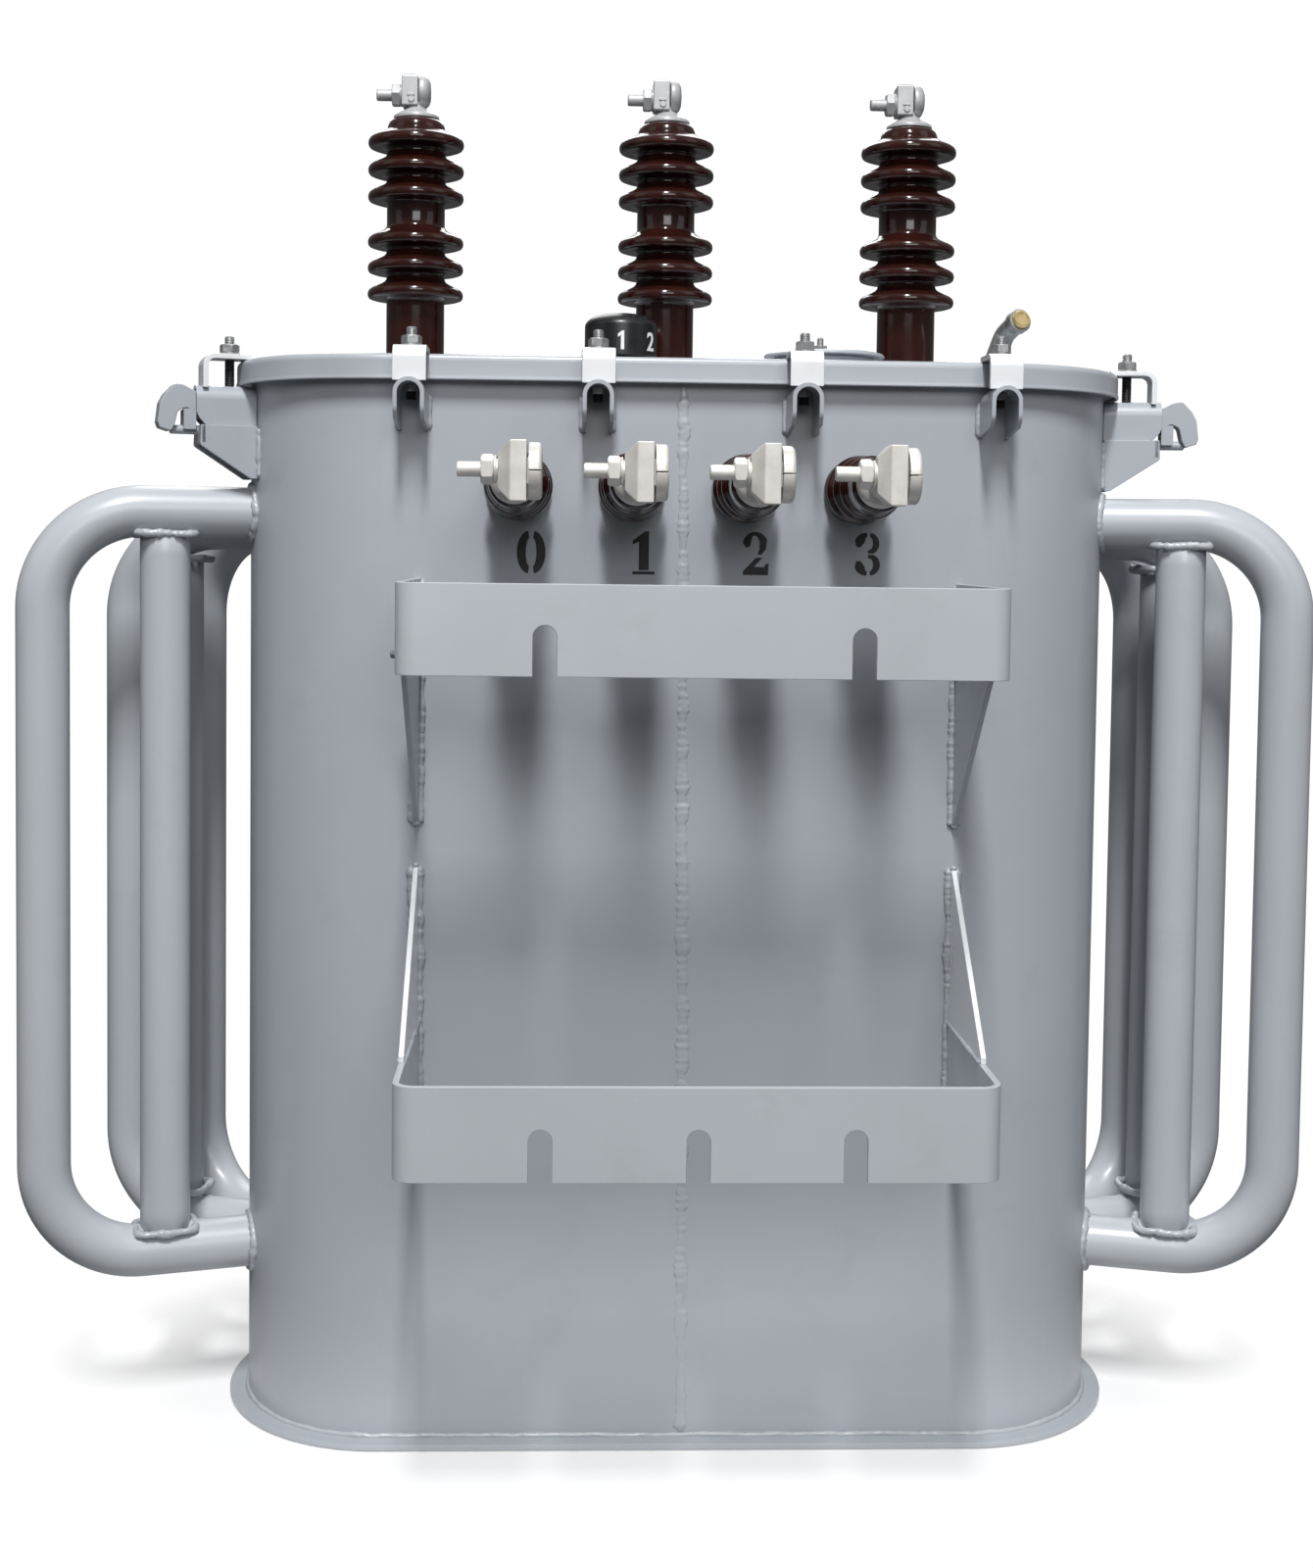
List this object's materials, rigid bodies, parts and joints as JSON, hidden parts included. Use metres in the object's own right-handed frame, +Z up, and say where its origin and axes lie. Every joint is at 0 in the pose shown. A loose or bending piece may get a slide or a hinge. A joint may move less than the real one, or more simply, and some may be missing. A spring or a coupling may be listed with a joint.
{
  "type": "power transformer",
  "caption": "Oil-filled pole-mount power transformer: oblong tank, bolted lid, porcelain bushings, tube coolers, slotted pole brackets and a turning tap dial.",
  "frame": {"origin": "centre of the base plate's underside", "axes": "+X to the viewer's right along the tank's long side, -Y out of the bracket and low voltage side, +Z up"},
  "size_m": [1.2756, 0.5809, 1.3415],
  "materials": {
    "gray_paint": "semi-gloss light gray enamel",
    "brown_porcelain": "glossy brown glaze",
    "tinned_bronze": "dull tin plating",
    "zinc_steel": "hot-dip galvanised",
    "black_plastic": "satin black moulding",
    "yellow_brass": "machined brass",
    "core_and_oil": "oil-wet core steel, unseen",
    "black_rubber": "matt rubber"
  },
  "bodies": {
    "transformer": {"tank_shell": "gray_paint", "base_plate": "gray_paint", "tank_rim": "gray_paint", "lid": "gray_paint", "handhole_neck": "gray_paint", "handhole_cover": "gray_paint", "upper_bracket": "gray_paint", "lower_bracket": "gray_paint", "upper_gussets": "gray_paint", "lower_gussets": "gray_paint", "clamp_lugs": "gray_paint", "clamp_straps": "gray_paint", "lifting_lugs": "gray_paint", "cooling_loop_left_front": "gray_paint", "cooling_loop_left_mid": "gray_paint", "cooling_loop_left_rear": "gray_paint", "cooling_loop_right_front": "gray_paint", "cooling_loop_right_mid": "gray_paint", "cooling_loop_right_rear": "gray_paint", "cooling_riser_left_front": "gray_paint", "cooling_riser_left_mid": "gray_paint", "cooling_riser_right_front": "gray_paint", "cooling_riser_right_mid": "gray_paint", "hv_porcelain_1": "brown_porcelain", "hv_porcelain_2": "brown_porcelain", "hv_porcelain_3": "brown_porcelain", "lv_porcelain_0": "brown_porcelain", "lv_porcelain_1": "brown_porcelain", "lv_porcelain_2": "brown_porcelain", "lv_porcelain_3": "brown_porcelain", "hv_terminals": "tinned_bronze", "lv_terminals": "tinned_bronze", "hv_terminal_studs": "tinned_bronze", "lv_terminal_studs": "tinned_bronze", "hv_clamp_rings": "gray_paint", "clamp_bolts": "zinc_steel", "handhole_bolt": "zinc_steel", "ground_bolt": "zinc_steel", "valve_elbow": "zinc_steel", "tap_changer_base": "black_plastic", "core_and_oil_fill": "core_and_oil", "relief_valve": "yellow_brass", "lid_gasket": "black_rubber"},
    "tap_switch_dial": {"tap_dial": "black_plastic"}
  },
  "joints": [
    {"name": "tap_dial_turn", "type": "hinge", "parent": "transformer", "child": "tap_switch_dial", "pos_m": [-0.0623, -0.08, 1.053], "axis": [0, 0, 1], "range_deg": [-60, 60]}
  ]
}
